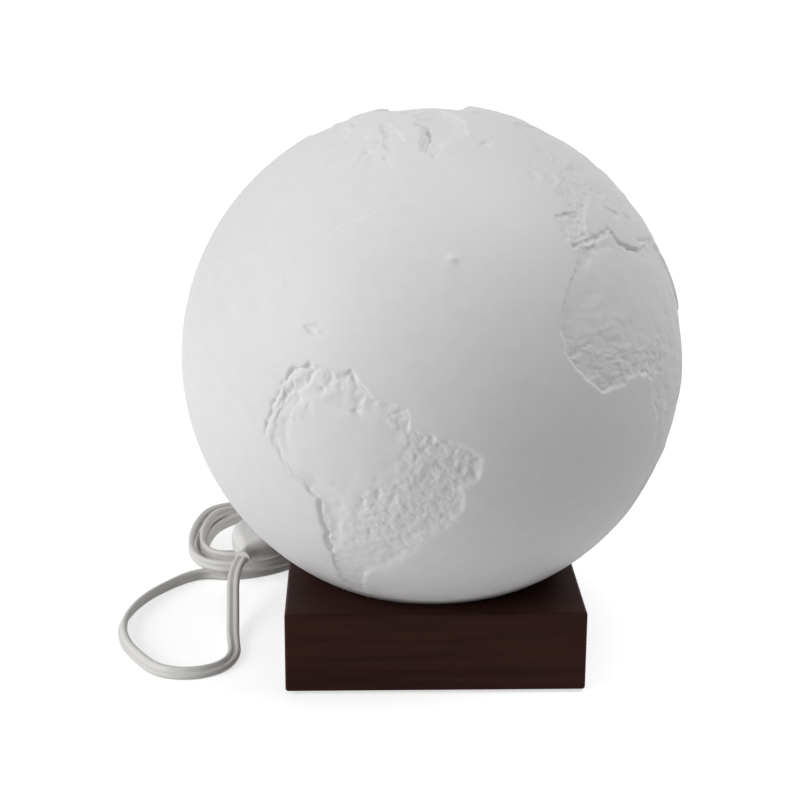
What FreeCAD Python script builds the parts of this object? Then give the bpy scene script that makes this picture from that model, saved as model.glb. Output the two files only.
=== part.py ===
import FreeCAD, Part
import math
import os

from FreeCAD import Placement, Rotation, Vector

os.makedirs("parts", exist_ok=True)

# A globe table lamp: a hollow globe with sunk land, resting in a wooden block over a small screw-base bulb.
# Millimetres. +Z is up, the front is -Y, and the origin is on the table under the middle of the base.

overrun = 1.0  # how far a cutting shape reaches past what it cuts

# Globe
globe_radius = 100.0  # at sea level
globe_wall = 4.0
plain_depth = 0.4  # wide plains below the sea
land_depth = 1.0  # other land below the sea
mountain_depth = 2.2  # mountains and ice below the sea, where the wall lets most light through
front_longitude = -43.2  # the meridian, in degrees, that faces -Y
seam_longitude = -169.0  # a meridian that meets no coast
mouth_radius = 34.0  # opening underneath, wide enough for the bulb
rim_radius = 38.0  # outer edge of the flat rim round that opening

# Wooden base
base_width = 117.0
base_height = 33.7  # table to the top face, felt included
base_round = 1.2
globe_sink = 12.75  # how far the whole ball would reach below the top face
seat_gap = 0.4
felt_thickness = 1.2
felt_inset = 4.0
well_radius = 30.0
well_floor = 17.0
pocket_ceiling = 12.0
pocket_width = 76.0
pocket_centre_y = 8.0
pocket_round = 8.0
cover_thickness = 2.0
cover_margin = 5.0
cover_gap = 0.2  # all round, in its rebate
cover_screw_inset = 0.5  # from the pocket's corner, towards the middle

# Fasteners
screw_radius = 1.4
screw_length = 9.0
screw_head_radius = 2.7
screw_head_height = 1.5
screw_slot_width = 0.7
screw_slot_depth = 0.6
pan_head_height = 1.0
hole_gap = 0.05  # round a screw in its hole
hole_spare = 0.5  # empty end of a blind hole

# Flat twin cord, which stands on edge along its whole length
cord_width = 5.4
cord_thickness = 2.7
cord_floor = 0.1
cord_fit = 0.2  # spare width of the slots that it passes through
arc_share = 0.45  # of the shorter run, taken up by each bend

# Where the cord leaves the base, and the clamp that holds it inside
exit_x = 20.0
exit_z = 8.5
relief_length = 24.0
relief_barrel_radius = 4.4
relief_hole_radius = 4.5
relief_flange = 2.0
relief_flange_radius = 6.5
relief_tail_radius = 5.2
relief_tip_radius = 4.0
relief_grooves = 4
relief_groove_width = 1.6
relief_waist_radius = 3.6
tail_start = 30.0
clamp_y = 38.0
clamp_length = 20.0
clamp_width = 8.0
clamp_bar = 1.5
clamp_round = 1.5
clamp_screw_reach = 6.2

# Stem of the lampholder, through the floor of the well
stem_radius = 4.9
stem_bore = 3.5
stem_low = 8.0
stem_high = 23.5
stem_hole_radius = 5.1
washer_radius = 8.5
washer_low = 11.2
nut_size = 14.0
nut_height = 2.8
nut_bore = 5.0

# Lampholder
cap_floor = well_floor + 2.6
insert_radius = 12.1
insert_low = 35.0
insert_high = 42.0
terminal_radius = 1.5
terminal_head_radius = 2.2
terminal_reach = 7.0
contact_width = 4.0
wire_radius = 0.8
wire_spread = 1.2
wire_floor = 5.0
wire_end = 4.4  # beside the terminal's head
wire_straight = 9.0  # out of the cord's end
wire_bend = 0.45  # share of the way from the stem to the cord's end, where the wire reaches its floor
wire_fan = 8.0  # below the insert, where the wires part
tongue_rise = 4.9
tongue_thickness = 0.6
cap_profile = [
    (5.1, well_floor), (10.5, well_floor), (14, 21), (14, insert_low), (11, insert_low), (11, 33),
    (12.2, 31.5), (12.2, 21.8), (9.7, cap_floor), (5.1, cap_floor),
]
skirt_profile = [
    (12.3, insert_low), (14, insert_low), (14, 60), (13, 62.5), (7.8, 62.5), (7.8, 60.7), (12.3, 60.7),
]
shell_floor = insert_high + 0.8
shell_profile = [
    (4.5, insert_high), (7, insert_high), (7, 58), (6.3, 58), (6.3, shell_floor), (4.5, shell_floor),
]

# Bulb
bulb_radius = 22.5
bulb_wall = 1.2
neck_radius = 15.8
board_radius = 13.8
board_low = 88.0
board_top = 89.6
led_count = 6
led_circle = 8.0
led_size = 3.0
led_height = 0.8
bulb_contact_profile = [(0, 47), (1.6, 47), (2.4, 47.6), (2.4, 48.6), (0, 48.6)]
bulb_insulator_profile = [(0, 48.6), (2.8, 48.6), (5.3, 51), (0, 51)]
bulb_cap_profile = [(0, 51), (5.6, 51), (5.9, 51.6), (5.9, 66.5), (7.2, 68), (7.2, 69.5), (0, 69.5)]
bulb_neck_profile = [
    (0, 69.5), (8, 69.5), (9.5, 71), (neck_radius, 86), (neck_radius, board_low), (0, board_low),
]

# Coil of spare cord: two layers of oval turns behind the base, on the left, wound clockwise from above
coil_centre = (-76.5, 106.5)
coil_mean_width = 54.0
coil_mean_length = 88.0
coil_lean = 16.4  # degrees by which the oval's sides run ahead of its ends
coil_blunt = 0.25  # share by which its ends are fuller than an ellipse's
coil_pitch = 4.4
layer_pitch = 5.9
turns_in = 2.5  # upper layer, from the outside in
turns_out = 1.75  # lower layer, from the inside out
drop_turns = 0.5  # taken to go from one layer to the other
coil_inner_offset = -3.6  # the tightest turn, measured from the mean oval

# Inline switch, lying along X
switch_centre = (12.0, 153.0)
switch_length = 48.0
switch_width = 20.0
switch_height = 14.5
switch_split = 7.0
switch_wall = 1.8
switch_end_wall = 4.0
switch_side_wall = 2.0
switch_round = 8.0
switch_edge = 2.0
switch_cord_z = 7.2
switch_screw_length = 11.0
post_radius = 3.0
post_reach = 16.5
rocker_pivot_z = 10.3
rocker_tilt = 7.0  # degrees each side of level
rocker_length = 18.0
rocker_width = 9.0
rocker_room = 0.9
rocker_side_gap = 0.35
rocker_pin_radius = 1.3
pin_gap = 0.06
lug_width = 6.0
lug_thickness = 1.6
strip_thickness = 0.6
strip_length = 7.0
strip_height = 5.2
strip_reach = 4.5  # from the middle of the switch

# Plug, resting on the near side of the coil
plug_tail = Vector(-81.0, 40.0, 17.7)
plug_heading = 72.0  # degrees from +X
plug_rise = 4.0
plug_length = 34.0
plug_lead = 11.0  # straight cord behind the plug
blade_length = 16.5
blade_width = 6.35
blade_thickness = 1.5
blade_spacing = 12.7
blade_hole_radius = 1.6
blade_hole_reach = 12.4  # from the face of the plug
# share of the length, width, height and corner radius of each section, from the cord to the blades
plug_sections = [
    (0.0, 7.0, 7.0, 3.2), (0.26, 11.0, 9.5, 4.2), (0.46, 22.0, 13.5, 5.0), (0.72, 24.0, 14.5, 5.0),
    (1.0, 20.5, 13.0, 5.0),
]

# Places worked out from the sizes above
up = Vector(0, 0, 1)
along_y = Vector(0, 1, 0)
origin = Vector(0, 0, 0)
globe_centre = Vector(0, 0, base_height + globe_radius - globe_sink)
rim_z = globe_centre.z - math.sqrt(globe_radius**2 - rim_radius**2)
half_base = base_width / 2
screw_hole_radius = screw_radius + hole_gap
pocket_rear = pocket_centre_y + pocket_width / 2
felt_width = base_width - 2 * felt_inset
cover_top = felt_thickness + cover_thickness
cord_low = cord_floor + cord_width / 2  # centre of a cord that lies on the table
cord_high = cord_low + layer_pitch
lean = math.radians(coil_lean)
start_width = coil_mean_width / 2 + coil_inner_offset + turns_in * coil_pitch
coil_start_x = coil_centre[0] + start_width * math.cos(lean) * (1 + coil_blunt * math.sin(lean) ** 2)
coil_end_y = coil_centre[1] - coil_mean_length / 2 - coil_inner_offset - turns_out * coil_pitch
wire_side = Vector(tail_start, -exit_x, 0).normalize()  # square to the wires' way in
plug_way = Rotation(up, plug_heading).multVec(Rotation(along_y, -plug_rise).multVec(Vector(1, 0, 0)))

# The cord's routes, point by point from the base to the plug
lead_points = [
    Vector(exit_x, half_base + relief_length, exit_z),
    Vector(exit_x, 92.0, exit_z),
    Vector(24.6, 101.6, 6.6),
    Vector(35.0, 108.6, 4.2),
    Vector(46.4, 114.9, 3.2),
    Vector(57.7, 123.1, 2.9),
    Vector(61.4, 134.5, 3.2),
    Vector(57.7, 146.0, 4.8),
    Vector(48.2, switch_centre[1], switch_cord_z),
    Vector(switch_centre[0] + switch_length / 2, switch_centre[1], switch_cord_z),
]
link_points = [
    Vector(switch_centre[0] - switch_length / 2, switch_centre[1], switch_cord_z),
    Vector(-21.0, switch_centre[1], switch_cord_z),
    Vector(-31.5, 149.4, 7.6),
    Vector(-40.0, 140.5, 8.2),
    Vector(coil_start_x, 123.0, cord_high),
]
loop_points = [
    Vector(-100.5, coil_end_y, cord_low),
    Vector(-108.8, 55.0, cord_low),
    Vector(-116.2, 47.0, cord_low),
    Vector(-122.0, 34.5, cord_low),
    Vector(-128.0, 20.0, cord_low),
    Vector(-130.2, 3.0, cord_low),
    Vector(-126.5, -14.5, cord_low),
    Vector(-118.0, -30.7, cord_low),
    Vector(-109.6, -41.7, cord_low),
    Vector(-95.9, -44.4, cord_low),
    Vector(-84.0, -37.0, cord_low),
    Vector(-80.1, -24.0, cord_low),
    Vector(-82.2, -9.0, cord_low),
    Vector(-83.2, 9.0, 5.0),
    plug_tail - plug_way * plug_lead,
    plug_tail,
]

# Coasts as longitude and latitude in degrees, only as fine as this size of globe shows them
coasts = {
    "south_america": [
        (-77.5, 8.5), (-72, 12), (-62, 10.5), (-57, 6), (-51, 4), (-50, 0), (-44, -2.5), (-39, -3),
        (-35, -6), (-35, -9), (-39, -13.5), (-39.5, -19), (-42, -22.8), (-48, -26), (-50, -30),
        (-54, -34.5), (-57.5, -38), (-62, -39), (-65, -43), (-67.5, -46.5), (-68.5, -54.5), (-74, -52),
        (-75, -46), (-73.5, -40), (-72, -33), (-70.3, -25), (-70.5, -18.5), (-76.3, -14), (-81, -6),
        (-80, -1), (-78, 3),
    ],
    "africa": [
        (-17, 21), (-17, 14), (-13, 8.5), (-8, 4.5), (-2, 5), (4, 6.3), (9, 4), (9, -1), (13, -6),
        (13.5, -12), (12, -17), (15, -26), (18.5, -34), (25, -34), (30.5, -31), (35, -24), (35, -20),
        (40.5, -15), (39, -5), (43, 1), (51, 11.5), (43.5, 11.5), (39, 16), (35.5, 24), (32.5, 30),
        (25, 31.5), (20, 31), (15, 32), (10.5, 34), (10.5, 37), (3, 36.6), (-2, 34.8), (-6, 35.2),
        (-9.5, 31), (-13, 27.5),
    ],
    "eurasia": [
        (-9, 37.2), (-9.3, 43), (-1.5, 43.5), (-4.5, 48.4), (1.8, 50.9), (8.3, 54), (8.2, 57), (10.5, 57.6),
        (10.8, 54.2), (19, 54.4), (21.5, 57.3), (29, 60), (22, 60.3), (21.3, 63), (25, 65.5), (17.5, 62),
        (18.8, 59.5), (16.3, 56.3), (13, 55.5), (11, 59), (7.5, 58), (5, 61), (12, 66), (18, 69.6),
        (26, 71), (40.5, 67.5), (34, 66.6), (38, 64.5), (44, 66), (46, 68), (60, 69), (67, 69),
        (67.5, 72.5), (80, 73), (87, 75), (104, 77.6), (113, 74), (127, 73), (140, 72.6), (160, 69.8),
        (180, 68.8), (-170.5, 66.2), (-174, 64.3), (179, 62.5), (170, 60), (163.3, 57), (156.8, 51),
        (156, 57), (164, 62), (156.5, 61.5), (142, 59.2), (135.3, 54.7), (141.3, 53), (140.3, 48.3),
        (132, 43.2), (127.6, 39.8), (129.4, 36), (126.4, 34.4), (125, 39.5), (121.3, 39), (118, 39),
        (122.4, 37), (119.2, 35), (121.9, 31.5), (119.5, 25.4), (113.5, 22.3), (108.2, 21.5), (106, 18.5),
        (109.2, 13), (105, 8.7), (100.2, 13.3), (99.5, 9.2), (103.4, 4.2), (104, 1.4), (101.2, 3),
        (98.2, 8), (97.6, 16.4), (94.3, 16), (91.8, 22.4), (87, 21.3), (80.2, 15.5), (79.8, 10.3),
        (77.5, 8.1), (73, 17), (72.7, 21), (69, 22.3), (66.6, 25), (57.3, 25.6), (51, 28), (48.5, 30.2),
        (51.3, 24.7), (56.2, 26), (59.8, 22.4), (55.3, 17.3), (45, 12.8), (43, 15), (39, 21.5), (35, 28),
        (34.3, 31.3), (36, 36.5), (30.5, 36.4), (27.3, 37), (26.3, 39.5), (23.5, 40.3), (24, 37.8),
        (22.5, 36.6), (19.5, 40.5), (13.6, 45.5), (14, 42.6), (18.3, 40), (16, 38.2), (12, 42), (8.9, 44.4),
        (3.2, 43), (-0.3, 39.3), (-2, 36.9), (-5.6, 36.5),
    ],
    "north_america": [
        (-167.5, 65.5), (-166, 68.5), (-156, 71), (-128, 70), (-115, 68), (-95, 67.5), (-94, 71.5),
        (-86, 67.5), (-81.5, 68.5), (-87, 64.5), (-94, 60.5), (-92.5, 57), (-82, 54.5), (-79.5, 51.3),
        (-77, 57), (-78, 62.3), (-70, 61), (-69.5, 58.8), (-65, 60), (-56, 52.5), (-66.5, 50),
        (-61, 46), (-66, 43.6), (-70, 42), (-75.7, 36.5), (-81, 31.5), (-80.3, 25.5), (-82.8, 28.5),
        (-90, 29.5), (-97.3, 27), (-97.7, 22.3), (-95, 18.6), (-91.5, 18.5), (-87, 21.4), (-88.5, 16),
        (-83.3, 15.2), (-83.5, 11), (-77.2, 9.2), (-78.6, 7), (-85.5, 10), (-94, 16.2), (-105.5, 20.2),
        (-112.5, 30.5), (-110, 23.2), (-115, 29.5), (-117.2, 32.8), (-120.6, 34.6), (-124, 40.3),
        (-124.2, 46.2), (-128, 51.5), (-138, 59), (-146, 60.7), (-152, 59.5), (-163, 54.8),
        (-158, 58.5), (-165.5, 61.5), (-161, 64.3),
    ],
    "australia": [
        (113.7, -22.5), (115.7, -32), (118, -35), (124, -33.5), (131, -31.5), (135.7, -34.8), (138.2, -33.5),
        (140.5, -38), (146.3, -39), (150, -37.3), (153.2, -31), (153, -25.5), (145.6, -15), (142.5, -10.7),
        (141, -16.5), (139, -17.5), (135.7, -15), (136.7, -12.2), (131, -12), (129, -15), (126.5, -14),
        (122.3, -17.5),
    ],
    "greenland": [
        (-45, 60), (-40, 65), (-24, 69.5), (-19, 76), (-22, 81), (-35, 83.5), (-60, 82), (-72, 78.3),
        (-60, 76), (-54.5, 71), (-53, 66),
    ],
    "baffin": [(-66, 62.2), (-61.8, 66.7), (-72, 71), (-84, 73.7), (-89, 73), (-80, 70), (-72.5, 65)],
    "ellesmere": [(-89, 76.6), (-79.5, 76.4), (-76, 79), (-63, 82.4), (-78, 83), (-92, 81)],
    "victoria": [(-117, 70.2), (-108, 69), (-103, 70.5), (-106, 73), (-116, 73.2)],
    "newfoundland": [(-59.2, 47.7), (-55.7, 51.4), (-53, 47)],
    "iceland": [(-24, 65.3), (-19, 63.4), (-14, 64.9), (-16, 66.4)],
    "great_britain": [
        (-5.5, 50.2), (0.6, 51.4), (1.2, 52.8), (-2, 57.4), (-5, 58.5), (-5.8, 56), (-3.3, 54), (-5, 52),
    ],
    "ireland": [(-10, 52), (-6.6, 52.3), (-6.4, 54.6), (-8, 55.2), (-10, 54)],
    "svalbard": [(12, 79.5), (16.5, 76.7), (25, 79.8)],
    "novaya_zemlya": [(52, 71.4), (57, 71), (68, 76.8), (60, 76)],
    "cuba": [(-84.8, 22), (-80, 23.2), (-74.5, 20.2), (-77.5, 19.9), (-81.5, 22)],
    "hispaniola": [(-74.2, 18.3), (-72.8, 19.9), (-68.5, 18.6), (-71, 17.7)],
    "madagascar": [(49.3, -12.2), (50.3, -15.7), (47.2, -25), (44, -24.5), (44.3, -17)],
    "japan": [
        (130.5, 31.3), (135.5, 33.6), (140.8, 35.5), (142, 39.5), (145.4, 43.3), (141.8, 45.3), (140, 41),
        (138, 37.3), (132.5, 35.4),
    ],
    "sumatra": [(95.4, 5.5), (100.3, -0.8), (104.5, -5.8), (106, -3), (103, 0.2), (98.2, 3.6)],
    "java": [(105.6, -6.9), (114.4, -8.6), (114, -7.3), (107, -6)],
    "borneo": [(109.2, 1.5), (111, -3), (116.2, -3.8), (119, 5), (116.8, 7), (113, 3.2)],
    "sulawesi": [(119.6, -5.5), (121.5, -4.6), (122, -0.5), (124.8, 1.2), (120.3, 0.8)],
    "new_guinea": [
        (131, -0.8), (135, -3.5), (138, -8.3), (143, -9), (150.5, -10.5), (147.3, -6), (141, -2.6),
        (134.5, -1),
    ],
    "luzon": [(120.3, 16), (121.8, 18.5), (122.3, 14.5), (124, 12.6), (120.8, 13.8)],
    "mindanao": [(122, 7), (125.5, 9.7), (126.4, 6.5), (124, 6)],
    "ceylon": [(80, 9.2), (81.6, 7.4), (80.4, 6)],
    "tasmania": [(144.7, -40.9), (148.3, -41), (147, -43.6)],
    "north_new_zealand": [(172.8, -34.5), (178.4, -37.7), (175.4, -41.2), (173.8, -39.2)],
    "south_new_zealand": [(172.7, -40.9), (173.8, -42), (170.7, -45.8), (168.4, -46.6), (166.6, -45.8)],
}

# Coasts that are hardly sunk, and the uplands inside them that are
plain_coasts = ("north_america", "newfoundland", "cuba", "great_britain", "ireland")
uplands = {
    "rockies": [
        (-150, 63), (-138, 66), (-122, 58), (-112, 49), (-104, 42), (-104, 32), (-104, 22), (-108, 28),
        (-112, 36), (-119, 39), (-121, 49), (-132, 60),
    ],
    "labrador": [(-77, 61.5), (-70, 60), (-65, 59), (-58, 53.5), (-64, 51), (-74, 52.5), (-76, 57)],
}

# Mountains and high plateaus, each inside one of the other coasts, and the ice round the pole
mountains = {
    "northern_andes": [(-76, 7), (-72.5, 9.5), (-73.5, 4), (-77, -2), (-77, -9), (-78.5, -5), (-78.3, 1)],
    "central_andes": [
        (-75.5, -13), (-71, -12), (-65, -17), (-66, -24), (-69, -31), (-69.5, -24), (-69.3, -18),
    ],
    "guiana_highlands": [(-66, 5.5), (-60, 6), (-60.5, 3.5), (-65.5, 3.5)],
    "brazilian_highlands": [
        (-48, -8), (-41, -6), (-38, -8), (-41, -14), (-41.5, -20), (-47, -24), (-51, -27), (-52, -18),
    ],
    "atlas": [(-8, 31), (-5, 34), (2, 35.4), (8, 36), (7, 34), (-2, 32)],
    "guinea_highlands": [(-12, 11), (-9, 12), (-7, 8), (-10, 8)],
    "adamawa": [(9, 8), (14, 8), (13, 5.5), (10.5, 5)],
    "ethiopia": [(36, 14), (40, 13), (42, 9), (38, 4), (35, 8)],
    "rift_highlands": [(29, 1), (36, 2), (37, -3), (33, -10), (29, -6)],
    "southern_plateau": [(20, -20), (29, -19), (31, -27), (27, -31), (20, -30)],
    "iberian_plateau": [(-6, 38.5), (-6, 42), (-1, 42), (-2, 38)],
    "alps": [(6, 44.5), (7, 47), (15, 47.5), (13, 46)],
    "anatolia_and_iran": [
        (29, 38), (34, 39.8), (44, 41), (54, 37), (60, 35), (60, 28), (52, 30), (44, 36.5),
    ],
    "tibet": [(69, 34), (75, 40), (88, 38), (102, 38), (104, 28), (95, 28.5), (82, 29)],
    "altai": [(82, 47), (88, 52), (104, 53), (112, 55), (110, 49), (96, 46)],
    "great_dividing_range": [(145, -37.5), (149, -36.5), (152, -30), (150, -25), (146, -19), (148, -30)],
    "greenland_dome": [
        (-46, 63), (-42, 66), (-30, 71), (-26, 77), (-34, 81.5), (-56, 80), (-56, 76), (-50, 70),
    ],
    "arctic_ice": [
        (168, 67), (142, 68.5), (115, 68), (110, 75), (60, 80), (5, 81), (-25, 84.5), (-65, 84.5),
        (-95, 81.5), (-140, 76), (172, 73),
    ],
}


def save(name, *solids):
    shape = solids[0] if len(solids) == 1 else Part.Compound(list(solids))
    shape.exportStep(f"parts/{name}.step")


def disc(radius, low, high, x=0.0, y=0.0):
    return Part.makeCylinder(radius, high - low, Vector(x, y, low))


def rod_y(radius, near, far, x, z):
    return Part.makeCylinder(radius, far - near, Vector(x, near, z), along_y)


def turned(profile):
    """Solid of revolution about Z, from (radius, height) corners."""
    corners = [Vector(radius, 0, height) for radius, height in profile]
    return Part.Face(Part.makePolygon(corners + corners[:1])).revolve(origin, up, 360)


def rounded_outline(width, depth, corner, place=Placement()):
    """Closed wire: a rectangle with round corners, about the origin of place, in its XY plane."""
    half_x = width / 2 - corner
    half_y = depth / 2 - corner
    edges = []
    for quarter, (sign_x, sign_y) in enumerate([(1, 1), (-1, 1), (-1, -1), (1, -1)]):
        middle = Vector(sign_x * half_x, sign_y * half_y, 0)
        ends = [math.radians(90 * quarter + angle) for angle in (0, 45, 90)]
        points = [middle + Vector(math.cos(end), math.sin(end), 0) * corner for end in ends]
        edges.append([place.multVec(point) for point in points])
    wire = []
    for this, following in zip(edges, edges[1:] + edges[:1]):
        wire.append(Part.Arc(*this).toShape())
        if this[2].distanceToPoint(following[0]) > 1e-6:
            wire.append(Part.LineSegment(this[2], following[0]).toShape())
    return Part.Wire(wire)


def rounded_block(width, depth, corner, low, high, x=0.0, y=0.0):
    outline = rounded_outline(width, depth, corner, Placement(Vector(x, y, low), Rotation()))
    return Part.Face(outline).extrude(Vector(0, 0, high - low))


def hex_nut(across_flats, hole_radius, low, high):
    reach = across_flats / math.sqrt(3)
    angles = [math.radians(angle) for angle in range(0, 361, 60)]
    corners = [Vector(reach * math.cos(angle), reach * math.sin(angle), low) for angle in angles]
    blank = Part.Face(Part.makePolygon(corners)).extrude(Vector(0, 0, high - low))
    return blank.cut(disc(hole_radius, low, high))


# Globe

def towards(longitude, latitude):
    """Unit vector from the globe's centre to a place on it."""
    east = math.radians(longitude - front_longitude)
    north = math.radians(latitude)
    return Vector(math.cos(north) * math.sin(east), -math.cos(north) * math.cos(east), math.sin(north))


def ball(radius):
    seam = towards(seam_longitude, 0)
    sphere = Part.makeSphere(radius)
    sphere.rotate(origin, up, math.degrees(math.atan2(seam.y, seam.x)))
    sphere.translate(globe_centre)
    return sphere


def inside_of(outlines, floor_radius):
    """The parts of the layer above floor_radius that lie inside an outline, to carve out for the land."""
    top_radius = globe_radius + overrun
    walls = []
    for outline in outlines:
        rays = [towards(*place) for place in outline]
        for a, b in zip(rays, rays[1:] + rays[:1]):
            foot = floor_radius - overrun
            top = top_radius + overrun
            corners = [globe_centre + ray for ray in (a * foot, b * foot, b * top, a * top)]
            walls.append(Part.Face(Part.makePolygon(corners + corners[:1])))
    layer = ball(top_radius).cut(ball(floor_radius))
    pieces, _ = layer.generalFuse(walls)
    return sorted(pieces.Solids, key=lambda piece: piece.Volume)[:-1]


def globe_shell():
    plains = [coasts[name] for name in plain_coasts]
    lands = [outline for name, outline in coasts.items() if name not in plain_coasts]
    lands += uplands.values()
    globe = ball(globe_radius)
    globe = globe.cut(inside_of(plains, globe_radius - plain_depth))
    globe = globe.cut(inside_of(lands, globe_radius - land_depth))
    globe = globe.cut(inside_of(mountains.values(), globe_radius - mountain_depth))
    globe = globe.cut(ball(globe_radius - globe_wall))
    corner = Vector(-globe_radius, -globe_radius, 0)
    below_rim = Part.makeBox(2 * globe_radius, 2 * globe_radius, rim_z, corner)
    return globe.cut(below_rim).cut(disc(mouth_radius, 0, globe_centre.z))


# Base

def cover_screw_places():
    reach = pocket_width / 2 - cover_screw_inset
    return [(x, pocket_centre_y + y) for x in (-reach, reach) for y in (-reach, reach)]


def clamp_screw_places():
    return [(exit_x + side * clamp_screw_reach, clamp_y) for side in (-1, 1)]


def base_block():
    corner = Vector(-half_base, -half_base, felt_thickness)
    block = Part.makeBox(base_width, base_width, base_height - felt_thickness, corner)
    block = block.makeFillet(base_round, block.Edges)
    seat = ball(globe_radius + seat_gap)
    corner = Vector(-half_base, -half_base, rim_z)
    seat = seat.common(Part.makeBox(base_width, base_width, base_height, corner))
    well = disc(well_radius, well_floor, rim_z)
    pocket = rounded_block(
        pocket_width, pocket_width, pocket_round, felt_thickness, pocket_ceiling, 0, pocket_centre_y)
    cover_width = pocket_width + 2 * cover_margin
    rebate = rounded_block(
        cover_width, cover_width, pocket_round, felt_thickness, cover_top, 0, pocket_centre_y)
    stem_hole = disc(stem_hole_radius, pocket_ceiling, well_floor)
    cord_hole = rod_y(relief_hole_radius, pocket_rear - overrun, half_base, exit_x, exit_z)
    top = cover_top + screw_length
    pilots = [disc(screw_hole_radius, cover_top, top, x, y) for x, y in cover_screw_places()]
    top = pocket_ceiling + screw_length / 2
    pilots += [disc(screw_hole_radius, pocket_ceiling, top, x, y) for x, y in clamp_screw_places()]
    return block.cut([seat, well, pocket, rebate, stem_hole, cord_hole] + pilots)


def countersunk_screw(x, y, face_z, length):
    """Screw driven upwards, its head flush with face_z."""
    head = Part.makeCone(screw_head_radius, screw_radius, screw_head_height, Vector(x, y, face_z))
    shank = disc(screw_radius, face_z + screw_head_height, face_z + length, x, y)
    corner = Vector(x - screw_head_radius, y - screw_slot_width / 2, face_z)
    slot = Part.makeBox(2 * screw_head_radius, screw_slot_width, screw_slot_depth, corner)
    return head.fuse(shank).cut(slot)


def bottom_cover():
    width = pocket_width + 2 * (cover_margin - cover_gap)
    plate = rounded_block(width, width, pocket_round, felt_thickness, cover_top, 0, pocket_centre_y)
    for x, y in cover_screw_places():
        plate = plate.cut(disc(screw_hole_radius, felt_thickness, cover_top, x, y))
        sink = Part.makeCone(screw_head_radius, screw_radius, screw_head_height, Vector(x, y, felt_thickness))
        plate = plate.cut(sink)
    return plate


def cover_screws():
    for x, y in cover_screw_places():
        yield countersunk_screw(x, y, felt_thickness, screw_length)


def strain_relief():
    """Grommet in the back of the base, with a ribbed tail that tapers along the cord."""
    tail_end = half_base + relief_length
    flange_end = half_base + relief_flange
    barrel = rod_y(relief_barrel_radius, pocket_rear, half_base, exit_x, exit_z)
    flange = rod_y(relief_flange_radius, half_base, flange_end, exit_x, exit_z)
    start = Vector(exit_x, flange_end, exit_z)
    tail = Part.makeCone(relief_tail_radius, relief_tip_radius, tail_end - flange_end, start, along_y)
    relief = barrel.fuse([flange, tail]).removeSplitter()
    pitch = (tail_end - flange_end) / (relief_grooves + 1)
    for groove in range(1, relief_grooves + 1):
        near = flange_end + groove * pitch - relief_groove_width / 2
        ring = rod_y(relief_flange_radius, near, near + relief_groove_width, exit_x, exit_z)
        waist = rod_y(relief_waist_radius, near, near + relief_groove_width, exit_x, exit_z)
        relief = relief.cut(ring.cut(waist))
    slot = cord_section(Vector(exit_x, 0, exit_z), along_y, cord_fit)
    return relief.cut(Part.Face(slot).extrude(along_y * (tail_end + overrun)))


def cord_clamp():
    low = exit_z - cord_width / 2 - clamp_bar
    height = pocket_ceiling - low
    corner = Vector(exit_x - clamp_length / 2, clamp_y - clamp_width / 2, low)
    saddle = Part.makeBox(clamp_length, clamp_width, height, corner)
    upright = [edge for edge in saddle.Edges if abs(edge.Length - height) < 1e-6]
    saddle = saddle.makeFillet(clamp_round, upright)
    slot_width = cord_thickness + cord_fit
    corner = Vector(exit_x - slot_width / 2, clamp_y - clamp_width, low + clamp_bar)
    saddle = saddle.cut(Part.makeBox(slot_width, 2 * clamp_width, height, corner))
    holes = [disc(screw_hole_radius, low, pocket_ceiling, x, y) for x, y in clamp_screw_places()]
    return saddle.cut(holes)


def clamp_screws():
    face = exit_z - cord_width / 2 - clamp_bar
    top = pocket_ceiling + screw_length / 2 - hole_spare
    for x, y in clamp_screw_places():
        head = disc(screw_head_radius, face - pan_head_height, face, x, y)
        yield head.fuse(disc(screw_radius, face, top, x, y)).removeSplitter()


# Cord

def cord_section(centre, heading, spare=0.0):
    """Flat section standing on edge, square to heading: two half circles joined by straight sides."""
    side = heading.cross(up).normalize()
    rise = side.cross(heading).normalize()
    radius = (cord_thickness + spare) / 2
    half = (cord_width + spare) / 2 - radius
    right = side * radius
    top = centre + rise * half
    bottom = centre - rise * half
    edges = [
        Part.LineSegment(bottom + right, top + right).toShape(),
        Part.Arc(top + right, top + rise * radius, top - right).toShape(),
        Part.LineSegment(top - right, bottom - right).toShape(),
        Part.Arc(bottom - right, bottom - rise * radius, bottom + right).toShape(),
    ]
    return Part.Wire(edges)


def sweep_cord(name, path):
    """Cord along a smooth wire. Prints how its volume compares with section times length."""
    first = path.OrderedEdges[0]
    start = first.valueAt(first.FirstParameter)
    heading = first.tangentAt(first.FirstParameter)
    section = cord_section(start, heading)
    maker = Part.BRepOffsetAPI.MakePipeShell(path)
    maker.add(section)
    maker.build()
    maker.makeSolid()
    solid = maker.shape()
    expected = Part.Face(section).Area * path.Length
    print(f"{name}: {path.Length:.0f} mm long, volume {solid.Volume / expected:.3f} of section times length")
    return solid


def route_wire(name, points):
    """Straight runs joined by tangent arcs, each as large as its two runs allow. Prints the radii."""
    edges = []
    radii = []
    last = points[0]
    for before, corner, after in zip(points, points[1:], points[2:]):
        to_before = before - corner
        to_after = after - corner
        reach = arc_share * min(to_before.Length, to_after.Length)
        turn = math.pi - to_before.getAngle(to_after)
        radii.append(reach / math.tan(turn / 2))
        start = corner + to_before.normalize() * reach
        end = corner + to_after.normalize() * reach
        inward = (to_before + to_after).normalize()
        middle = corner + inward * (radii[-1] / math.cos(turn / 2) - radii[-1])
        edges.append(Part.LineSegment(last, start).toShape())
        edges.append(Part.Arc(start, middle, end).toShape())
        last = end
    edges.append(Part.LineSegment(last, points[-1]).toShape())
    print(f"{name}: bend radii", ", ".join(f"{radius:.0f}" for radius in radii))
    return Part.Wire(edges)


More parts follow.
